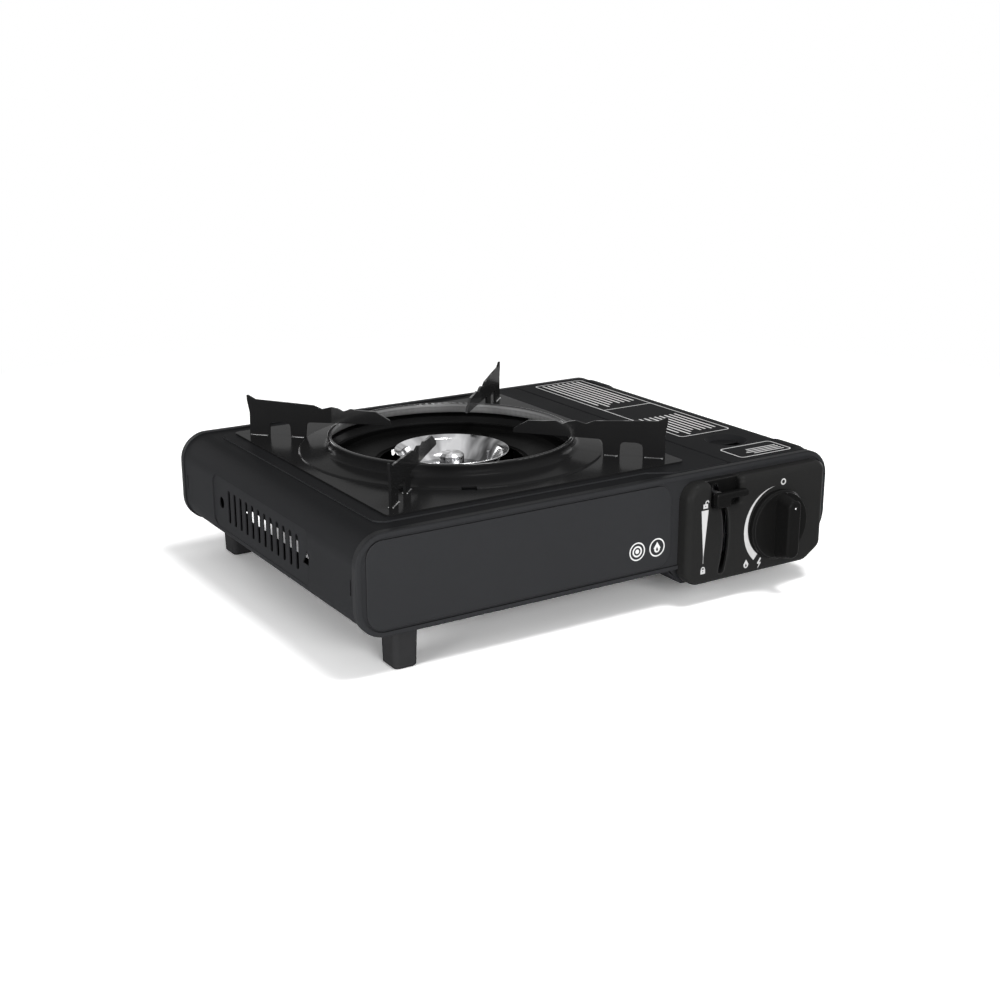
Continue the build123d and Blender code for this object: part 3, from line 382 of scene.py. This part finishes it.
def makePanelPrint(face):
    finish, place, colour = paintBase("panelPrint", panelPlastic)
    x, y, z = finish.axes(place)
    shapes = lockDistance(x, z, prints["openLock"], prints["openLift"])
    shapes = shapes.smaller(lockDistance(x, z, prints["closedLock"], 0.0))
    shapes = shapes.smaller(wedgeDistance(x, z))
    shapes = shapes.smaller(ringDistance(x, z, *prints["offRing"]))
    shapes = shapes.smaller(dialDistance(x, z, finish))
    shapes = shapes.smaller(flameDistance(x, z, prints["flame"]))
    shapes = shapes.smaller(sparkDistance(x, z, prints["spark"]))
    # painted shade: the inside of the slot and of the button's pocket is darkened, standing in for the shade
    # in the recess
    pocket = roundBoxDistance(x, z, *panelPlastic["recess"])
    inside = y.over(face + panelPlastic["recessDepth"]) * pocket.under(0.0)
    colour = finish.blend(inside, colour, grey(panelPlastic["recessShade"]))
    ink = inked(shapes) * y.under(face + prints["faceDepth"])
    finish.feed("Base Color", finish.blend(ink, colour, grey(prints["white"])))
    edges = finish.edges(panelPlastic["edgeWidth"], panelPlastic["edgeGain"])
    finish.coat(edges, panelPlastic["edgeRough"])
    return finish


# the knob's own plastic is a little glossier, with one white dot on the ridge
knobPlastic = {
    "dark": 0.005, "pale": 0.007, "tint": (1.0, 1.0, 0.99),
    "peelScale": 2.2, "peelDepth": 0.01, "roughLow": 0.2, "roughHigh": 0.28, "gloss": 0.015,
    "dot": ((121.5, 57.3), 0.5), "dotDepth": 1.5, "edgeWidth": 1.1, "edgeGain": 5.0, "edgeRough": 0.16,
}


def makeKnobPlastic(face):
    finish, place, colour = paintBase("knobPlastic", knobPlastic)
    x, y, z = finish.axes(place)
    ink = inked(discDistance(x, z, *knobPlastic["dot"])) * y.under(face + knobPlastic["dotDepth"])
    finish.feed("Base Color", finish.blend(ink, colour, grey(prints["white"])))
    finish.coat(finish.edges(knobPlastic["edgeWidth"], knobPlastic["edgeGain"]), knobPlastic["edgeRough"])
    return finish


# front and back panels: burnished hem and field edge
hem = {
    "corner": 18.0, "edge": 0.4, "reach": 5.0, "sharp": 2.0,
    "field": ((-60.0, 53.8), (103.5, 25.8), 10.0), "fieldEdge": 0.6, "fieldSharp": 3.0,
}

# two plain badges low at the right of the front field: a flame, and rings
badges = {
    "flame": (33.2, 41.2), "flameScale": 1.2, "rings": (18.2, 41.2), "radius": 5.4, "line": 0.4,
    "hub": 1.4, "innerRadius": 3.0, "innerLine": 0.5, "faceDepth": 1.5, "white": 0.62,
}


def hemCoat(finish, x, z):
    middle, half = middleAndHalf("front_panel")
    outline = roundBoxDistance(x, z, middle[::2], half[::2], hem["corner"])
    rim = outline.within(-hem["edge"], hem["reach"], hem["sharp"])
    field = roundBoxDistance(x, z, *hem["field"]).size()
    edges = rim.larger(field.under(hem["fieldEdge"], hem["fieldSharp"]))
    finish.coat(edges * bodyPaint["edgeCoat"], bodyPaint["edgeRough"])


def makeFrontPaint(face):
    finish, place, colour = paintBase("frontPaint", bodyPaint)
    x, y, z = finish.axes(place)
    hemCoat(finish, x, z)
    shapes = ringDistance(x, z, badges["flame"], badges["radius"], badges["line"])
    shapes = shapes.smaller(flameDistance(x, z, badges["flame"], badges["flameScale"]))
    shapes = shapes.smaller(ringDistance(x, z, badges["rings"], badges["radius"], badges["line"]))
    shapes = shapes.smaller(ringDistance(x, z, badges["rings"], badges["innerRadius"], badges["innerLine"]))
    shapes = shapes.smaller(discDistance(x, z, badges["rings"], badges["hub"]))
    ink = inked(shapes) * y.under(face + badges["faceDepth"])
    finish.feed("Base Color", finish.blend(ink, colour, grey(badges["white"])))
    return finish


def makeBackPaint():
    finish, place, colour = paintBase("backPaint", bodyPaint)
    finish.feed("Base Color", colour)
    x, y, z = finish.axes(place)
    hemCoat(finish, x, z)
    return finish


# lid: two white frames filled with plain ruled lines
lidPrint = {
    "white": 0.6, "line": 0.4, "corner": 3.0, "depth": 1.1, "depthSharp": 5.0, "softness": 0.3,
    "longFrame": ((127.8, 42.6), (20.8, 87.4)), "divider": 42.0,
    "shortFrame": ((128.0, -93.7), (21.0, 11.0)),
    "farRows": ((127.8, 88.0), (17.6, 39.0)), "nearRows": ((127.8, -17.0), (17.6, 25.0)),
    "rows": {"pitch": 4.4, "half": 0.72, "ragged": 9.0},
    "shortRows": ((-96.0, 131.5), (5.8, 14.5)), "tightRows": {"pitch": 2.9, "half": 0.5, "ragged": 5.0},
    "firstSeed": 3.0,
}


def ruledDistance(finish, across, along, area, pitch, half, ragged):
    # even lines in an area, each ending where it likes
    middle, ends = area
    rows = (across - middle[0] + ends[0]) / pitch
    lines = (rows.fraction() - 0.5).size() * pitch - half
    seed = finish.node("ShaderNodeMath", {"operation": "FLOOR"}, {0: rows}) + lidPrint["firstSeed"]
    chance = finish.node("ShaderNodeTexWhiteNoise", {"noise_dimensions": "1D"}, {"W": seed}, "Value")
    before = chance * ragged - (along + (ends[1] - middle[1]))
    beyond = along - middle[1] - ends[1]
    return lines.larger((across - middle[0]).size() - ends[0]).larger(beyond).larger(before)


def makeLidPaint(top):
    finish, place, colour = paintBase("lidPaint", bodyPaint)
    x, y, z = finish.axes(place)
    line = lidPrint["line"]
    middle, half = lidPrint["longFrame"]
    shapes = boxDistance(x, y, (middle[0], lidPrint["divider"]), (half[0], line))
    for frameName in ("longFrame", "shortFrame"):
        outline = roundBoxDistance(x, y, *lidPrint[frameName], lidPrint["corner"])
        shapes = shapes.smaller(outline.size() - line)
    for area in ("farRows", "nearRows"):
        shapes = shapes.smaller(ruledDistance(finish, x, y, lidPrint[area], **lidPrint["rows"]))
    # the short frame's lines run across
    shapes = shapes.smaller(ruledDistance(finish, y, x, lidPrint["shortRows"], **lidPrint["tightRows"]))
    ink = inked(shapes, lidPrint["softness"]) * z.over(top - lidPrint["depth"], lidPrint["depthSharp"])
    finish.feed("Base Color", finish.blend(ink, colour, grey(lidPrint["white"])))
    return finish


# enamel of the pan support and the drip pan: heights are above the plate, the rest is out from the burner
enamel = {
    "dark": 0.008, "pale": 0.012, "tint": (1.0, 1.0, 1.02),
    "peelScale": 0.25, "peelDepth": 0.02, "roughLow": 0.12, "roughHigh": 0.2, "gloss": 0.009,
    "neck": ((82.91, 6.42), 4.9), "neckSharp": 4.0, "rimSharp": 2.0,
    "wallFrom": 1.9, "wallInside": 80.5, "wallCoat": 0.55,
    "lipFrom": 9.2, "lipInside": 80.5, "lipCoat": 0.25,
    # painted reflection: the next line's entries paint the inside of the ring's neck a paler grey
    "paintedReflection": (1.0, 9.6), "paintedReflectionInside": 79.6, "paintedReflectionGrey": 0.22,
    # the next line's entries make the pan inside the ring, close to the plate, near black
    "nearBlackInside": 77.0, "nearBlackBelow": 1.5, "nearBlackSharp": 0.5, "nearBlackGrey": 0.002,
    "finsFrom": 10.6, "finSharp": 2.0, "finFacing": (0.4, 1.5),
    "plateEdge": (-0.95, -0.05), "plateFrom": 99.0, "plateSharp": 2.0,
    "wornScale": 0.12, "wornFrom": (0.48, 0.62), "wornTo": (0.05, 1.0), "cutCoat": 0.6, "coatRough": 0.12,
}


def burnerRadius(x, y):
    # how far out from the burner's axis
    return discDistance(x, y, burnerAxis, 0.0)


def makeEnamel():
    finish, place, colour = paintBase("enamel", enamel)
    x, y, z = finish.axes(place)
    radius = burnerRadius(x, y)
    up = z - plateTop
    neck = discDistance(radius, up, *enamel["neck"]).over(0.0, enamel["neckSharp"])
    # painted reflection: the inside of the ring's neck is paler, standing in for a lamp's reflection on the
    # glossy wall; the pan below it is made near black
    paintedReflection = up.within(*enamel["paintedReflection"], 1.0) * neck * radius.under(enamel["paintedReflectionInside"], enamel["rimSharp"])
    colour = finish.blend(paintedReflection, colour, grey(enamel["paintedReflectionGrey"]))
    sharp = enamel["nearBlackSharp"]
    nearBlack = radius.under(enamel["nearBlackInside"], sharp) * up.under(enamel["nearBlackBelow"], sharp)
    finish.feed("Base Color", finish.blend(nearBlack, colour, grey(enamel["nearBlackGrey"])))
    # the ring's inner wall and its rolled edge carry a thicker, clearer coat
    wall = neck * up.over(enamel["wallFrom"]) * radius.under(enamel["wallInside"], enamel["rimSharp"])
    lip = up.over(enamel["lipFrom"]) * radius.under(enamel["lipInside"])
    # sheared edges of the fins and of the plate shine here and there
    patches = finish.noise(place, enamel["wornScale"])
    worn = finish.remap(patches, *enamel["wornFrom"], *enamel["wornTo"]) * enamel["cutCoat"]
    finTops = finish.facing().within(*enamel["finFacing"]) * up.over(enamel["finsFrom"], enamel["finSharp"])
    plateEdge = up.within(*enamel["plateEdge"]) * radius.over(enamel["plateFrom"], enamel["plateSharp"])
    coat = (wall * enamel["wallCoat"]).larger(lip * enamel["lipCoat"])
    finish.coat(coat.larger(finTops.larger(plateEdge) * worn), enamel["coatRough"])
    return finish


# metals: colour, roughness low and high, scale of the grain along each axis
metalCloud = {"scale": 0.05, "detail": 3.0, "darker": 0.82, "grainShare": 0.6}
metals = {
    "bareSteel": {
        "colour": (0.46, 0.46, 0.47), "rough": (0.3, 0.42), "grain": (0.2, 0.2, 6.0), "depth": 0.01,
    },
    "polishedSteel": {"colour": (0.4, 0.4, 0.41), "rough": (0.2, 0.34), "grain": (1.0,) * 3, "depth": 0.004},
    "castAlloy": {"colour": (0.62, 0.62, 0.64), "rough": (0.42, 0.58), "grain": (1.5,) * 3, "depth": 0.05},
    "brass": {"colour": (0.72, 0.52, 0.24), "rough": (0.2, 0.32), "grain": (1.0,) * 3, "depth": 0.01},
    "tubeSteel": {"colour": (0.5, 0.5, 0.51), "rough": (0.3, 0.45), "grain": (0.2, 4.0, 4.0), "depth": 0.01},
    "screwSteel": {"colour": (0.6, 0.6, 0.6), "rough": (0.25, 0.4), "grain": (1.0,) * 3, "depth": 0.01},
}


def makeMetal(name):
    metal = metals[name]
    finish = Finish(name, Metallic=1.0)
    place = finish.place()
    stretched = finish.node("ShaderNodeMapping", {}, {"Vector": place, "Scale": metal["grain"]})
    grain = finish.noise(stretched, 1.0, metalCloud["detail"])
    cloud = finish.noise(place, metalCloud["scale"], metalCloud["detail"])
    colour = metal["colour"]
    finish.feed("Base Color", finish.blend(cloud, solid(colour), solid(colour, metalCloud["darker"])))
    share = metalCloud["grainShare"]
    finish.feed("Roughness", finish.remap(grain * share + cloud * (1 - share), *noiseSpread, *metal["rough"]))
    finish.bump(grain, metal["depth"])
    return finish


burnerSteelAndSheen = {
    "dark": (0.04, 0.04, 0.041), "pale": (0.6, 0.6, 0.61), "rough": (0.08, 0.2), "depth": 0.03,
    "hub": 0.5, "sheenFans": 1.5, "sheenFanTwist": 0.015, "sheenFanDetail": 3.0, "sheenFanSpread": (0.36, 0.62),
    "rings": 1.4, "sheenFanShare": 0.5, "ringSpread": (0.2, 0.8),
}


def makeBurnerSteel():
    # pressed bowl: fans of light and dark round the middle, painted reflection in the colour standing in for
    # the streaked highlights of polished steel; the fans and fine rings across them also set the roughness,
    # the rings the skin
    finish = Finish("burnerSteelAndSheen", Metallic=1.0)
    x, y, z = finish.axes(finish.place())
    radius = burnerRadius(x, y) + burnerSteelAndSheen["hub"]  # never quite 0
    outX, outY = (x - burnerAxis[0]) / radius, (y - burnerAxis[1]) / radius
    direction = finish.node("ShaderNodeCombineXYZ", {}, {0: outX, 1: outY, 2: z * burnerSteelAndSheen["sheenFanTwist"]})
    paintedSheenFan = finish.noise(direction, burnerSteelAndSheen["sheenFans"], burnerSteelAndSheen["sheenFanDetail"])
    paintedSheenFan = finish.remap(paintedSheenFan, *burnerSteelAndSheen["sheenFanSpread"], 0.0, 1.0)
    outAndUp = finish.node("ShaderNodeCombineXYZ", {}, {0: radius, 1: z})
    ring = finish.noise(outAndUp, burnerSteelAndSheen["rings"])
    # painted reflection: dark and pale steel blended by the fans
    finish.feed("Base Color", finish.blend(paintedSheenFan, solid(burnerSteelAndSheen["dark"]), solid(burnerSteelAndSheen["pale"])))
    share = burnerSteelAndSheen["sheenFanShare"]
    uneven = paintedSheenFan * share + ring * (1 - share)
    finish.feed("Roughness", finish.remap(uneven, *burnerSteelAndSheen["ringSpread"], *burnerSteelAndSheen["rough"]))
    finish.bump(ring, burnerSteelAndSheen["depth"])
    return finish


# plain mouldings: colour, roughness, skin
mouldingCloud = {"scale": 0.08, "detail": 3.0, "darker": 0.8, "gloss": 0.02}
mouldings = {
    "darkPlastic": {"colour": (0.03, 0.03, 0.033), "rough": (0.4, 0.5), "scale": 1.5, "depth": 0.02},
    "footRubber": {"colour": (0.027, 0.027, 0.028), "rough": (0.55, 0.68), "scale": 1.2, "depth": 0.03},
    "sealRubber": {"colour": (0.02, 0.02, 0.02), "rough": (0.6, 0.7), "scale": 2.0, "depth": 0.02},
    "leadCover": {"colour": (0.62, 0.6, 0.56), "rough": (0.45, 0.6), "scale": 2.0, "depth": 0.01},
    "insulatorCeramic": {
        "colour": (0.84, 0.83, 0.79), "rough": (0.12, 0.25), "scale": 0.6, "depth": 0.01, "gloss": 0.4,
    },
}


def makeMoulding(name):
    moulding = mouldings[name]
    finish = Finish(name, Specular_IOR_Level=moulding.get("gloss", mouldingCloud["gloss"]))
    place = finish.place()
    cloud = finish.noise(place, mouldingCloud["scale"], mouldingCloud["detail"])
    colour = moulding["colour"]
    finish.feed("Base Color", finish.blend(cloud, solid(colour), solid(colour, mouldingCloud["darker"])))
    finish.feed("Roughness", finish.remap(cloud, *noiseSpread, *moulding["rough"]))
    finish.bump(finish.noise(place, moulding["scale"]), moulding["depth"])
    return finish


finishes = {
    "body_paint": makeBodyPaint(),
    "panel_plastic": makePanelPlastic(),
    "enamel": makeEnamel(),
    "bare_steel": makeMetal("bareSteel"),
    "polished_steel": makeMetal("polishedSteel"),
    "cast_alloy": makeMetal("castAlloy"),
    "brass": makeMetal("brass"),
    "tube_steel": makeMetal("tubeSteel"),
    "screw_steel": makeMetal("screwSteel"),
    "dark_plastic": makeMoulding("darkPlastic"),
    "foot_rubber": makeMoulding("footRubber"),
    "seal_rubber": makeMoulding("sealRubber"),
    "lead_cover": makeMoulding("leadCover"),
    "insulator_ceramic": makeMoulding("insulatorCeramic"),
}
slotOf = {part["node"]: part["material_slot"] for part in frame["record"]["subparts"]}


def dress(piece, finish):
    piece.data.materials.clear()
    piece.data.materials.append(finish.material)


for name, piece in nodes.items():
    dress(piece, finishes[slotOf[name]])
dress(nodes["control_panel"], makePanelPrint(lowest("control_panel", alongAxis)))
knobFinish = makeKnobPlastic(lowest("knob", alongAxis))
for name in ("knob", "lever_button"):
    dress(nodes[name], knobFinish)
dress(nodes["front_panel"], makeFrontPaint(lowest("front_panel", alongAxis)))
dress(nodes["lid"], makeLidPaint(highest("lid", upAxis)))
dress(nodes["back_panel"], makeBackPaint())
burnerFinish = makeBurnerSteel()
for name in ("burner_bowl", "burner_head"):
    dress(nodes[name], burnerFinish)
print("finishes on")

# ---- weld seams on the pan support plate ----
seams = {
    "finHalf": 0.75, "legs": ((99.5, 107.6), (124.6, 136.0)),
    "turns": {"front": 225, "right": 315, "back": 45, "left": 135},
    "radius": 0.85, "offset": 0.34, "sides": 12, "step": 0.9, "pinch": 0.84,
    "cap": 0.3, "capFacing": 0.9, "smooth": 50,
    "colour": (0.03, 0.03, 0.031), "darker": 0.6, "cloud": (0.4, 3.0), "rough": (0.15, 0.3),
    "skin": 1.5, "skinDepth": 0.03, "coat": 0.9, "coatRough": 0.15,
}


def makeSeamFinish():
    finish = Finish("weldEnamel", Coat_Weight=seams["coat"], Coat_Roughness=seams["coatRough"])
    place = finish.place()
    cloud = finish.noise(place, *seams["cloud"])
    colour = seams["colour"]
    finish.feed("Base Color", finish.blend(cloud, solid(colour), solid(colour, seams["darker"])))
    finish.feed("Roughness", finish.remap(cloud, *noiseSpread, *seams["rough"]))
    finish.bump(finish.noise(place, seams["skin"]), seams["skinDepth"])
    return finish


def makeBead(start, end, side):
    # one bead beside a leg, pinched at even steps, with domed ends
    length = end - start
    y = (burnerAxis[1] + side * (seams["finHalf"] + seams["offset"])) * mm
    z = plateTop * mm
    middle = (start + length / 2 + burnerAxis[0]) * mm
    bpy.ops.object.select_all(action="DESELECT")
    bpy.ops.mesh.primitive_cylinder_add(
        vertices=seams["sides"], radius=seams["radius"] * mm, depth=length * mm,
        location=(middle, y, z), rotation=(0, math.radians(90), 0),
    )
    bead = bpy.context.object
    bpy.ops.object.transform_apply(location=True, rotation=True, scale=True)
    bpy.ops.object.mode_set(mode="EDIT")
    bpy.context.tool_settings.mesh_select_mode = (False, False, True)
    bpy.ops.mesh.select_all(action="DESELECT")
    bpy.ops.object.mode_set(mode="OBJECT")
    for face in bead.data.polygons:
        face.select = abs(face.normal.x) > seams["capFacing"]
    bpy.ops.object.mode_set(mode="EDIT")
    bpy.ops.mesh.inset(thickness=seams["cap"] * mm, use_individual=True)
    grow = 1 + 2 * seams["cap"] / length
    bpy.ops.transform.resize(value=(grow, 1, 1), center_override=(middle, y, z))
    steps = round(length / seams["step"])
    pinch = seams["pinch"]
    for step in range(1, steps):
        x = (start + burnerAxis[0] + length * step / steps) * mm
        bpy.ops.mesh.select_all(action="SELECT")
        bpy.ops.mesh.bisect(plane_co=(x, 0, 0), plane_no=(1, 0, 0))
        if step % 2:
            bpy.ops.transform.resize(value=(1, pinch, pinch), center_override=(x, y, z))
    bpy.ops.object.mode_set(mode="OBJECT")
    bpy.ops.object.shade_smooth_by_angle(angle=math.radians(seams["smooth"]))
    return bead


def makeSeams():
    beads = [makeBead(start, end, side) for start, end in seams["legs"] for side in (-1, 1)]
    bpy.ops.object.select_all(action="DESELECT")
    for bead in beads:
        bead.select_set(True)
    bpy.context.view_layer.objects.active = beads[0]
    bpy.ops.object.join()
    first = bpy.context.object
    dress(first, makeSeamFinish())
    axis = (burnerAxis[0] * mm, burnerAxis[1] * mm, 0)
    for corner, turn in seams["turns"].items():
        bpy.ops.object.select_all(action="DESELECT")
        first.select_set(True)
        bpy.context.view_layer.objects.active = first
        bpy.ops.object.duplicate(linked=False)
        copy = bpy.context.object
        bpy.ops.object.mode_set(mode="EDIT")
        bpy.ops.mesh.select_all(action="SELECT")
        bpy.ops.transform.rotate(value=-math.radians(turn), orient_axis="Z", center_override=axis)
        bpy.ops.mesh.normals_make_consistent(inside=False)
        bpy.ops.object.mode_set(mode="OBJECT")
        copy.name = "weld_seam_" + corner
        copy.data.name = copy.name
        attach(copy, "pan_support")
    bpy.ops.object.select_all(action="DESELECT")
    first.select_set(True)
    bpy.ops.object.delete()


makeSeams()
print("weld seams laid")

# ---- floor, light and camera ----
studio = {
    "floorSize": 60.0, "floorGrey": 0.82, "floorSeen": 1.32, "fade": (0.42, 0.8), "worldGrey": 0.26,
}
# place, size and power of each lamp
lamps = {
    "keyLamp": ((0.3, -0.5, 1.9), 0.7, 26.0),
    "frontLamp": ((-0.35, -2.1, 0.6), 1.2, 36.0),
    "leftLamp": ((-2.1, -0.6, 0.4), 1.2, 35.0),
    "backLamp": ((-0.3, 2.2, 0.32), 1.0, 18.0),
    "rightLamp": ((2.2, 0.3, 0.32), 1.0, 11.0),
}
view = {
    "place": (-0.50531, -0.78853, 0.33695), "tilt": 72.77, "turn": -32.33, "lens": 53.96, "sensor": 36.0,
}


def makeFloor():
    # pale paper that takes the shadow near the stove and fades to plain white further out
    bpy.ops.object.select_all(action="DESELECT")
    bpy.ops.mesh.primitive_plane_add(size=studio["floorSize"], location=(0, 0, 0))
    floor = bpy.context.object
    floor.name = "floor"
    paper = Finish("floorPaper", Roughness=1.0, Specular_IOR_Level=0.0)
    coordinates = paper.node("ShaderNodeTexCoord", {}, {}, "Object")
    away = paper.node("ShaderNodeVectorMath", {"operation": "LENGTH"}, {0: coordinates}, "Value")
    seen = paper.node("ShaderNodeLightPath", {}, {}, "Is Camera Ray")
    far = paper.remap(away, *studio["fade"], 0.0, 1.0)
    paper.feed("Base Color", paper.blend(seen, grey(studio["floorGrey"]), grey(studio["floorSeen"])))
    lit = Signal(paper, paper.shader.outputs[0])
    white = paper.node("ShaderNodeEmission", {}, {})
    paper.show(paper.node("ShaderNodeMixShader", {}, {0: far * seen, 1: lit, 2: white}), "Material Output")
    dress(floor, paper)


def makeWorld():
    # an even grey light, which the camera, metal and glass see as white
    world = bpy.data.worlds.new("studio")
    bpy.context.scene.world = world
    world.use_nodes = True
    sky = Graph(world.node_tree)
    toCamera, toMetal, toGlass = [
        sky.node("ShaderNodeLightPath", {}, {}, ray)
        for ray in ("Is Camera Ray", "Is Glossy Ray", "Is Transmission Ray")
    ]
    lit = sky.node("ShaderNodeBackground", {}, {"Color": grey(studio["worldGrey"])})
    white = sky.node("ShaderNodeBackground", {}, {"Color": grey(1.0)})
    seen = toCamera.larger(toMetal).larger(toGlass)
    sky.show(sky.node("ShaderNodeMixShader", {}, {0: seen, 1: lit, 2: white}), "World Output")


def makeLamp(name, place, size, power):
    data = bpy.data.lights.new(name, "AREA")
    data.shape = "DISK"
    data.size = size
    data.energy = power
    lamp = bpy.data.objects.new(name, data)
    bpy.context.collection.objects.link(lamp)
    lamp.location = place
    lamp.rotation_mode = "QUATERNION"
    lamp.rotation_quaternion = lamp.location.to_track_quat("Z", "Y")


def makeCamera():
    data = bpy.data.cameras.new("camera")
    data.lens = view["lens"]
    data.sensor_width = view["sensor"]
    camera = bpy.data.objects.new("camera", data)
    bpy.context.collection.objects.link(camera)
    camera.location = view["place"]
    camera.rotation_euler = (math.radians(view["tilt"]), 0, math.radians(view["turn"]))
    bpy.context.scene.camera = camera


makeFloor()
makeWorld()
for name, lamp in lamps.items():
    makeLamp(name, *lamp)
makeCamera()
bpy.context.scene.view_settings.view_transform = "Standard"
print("studio ready")
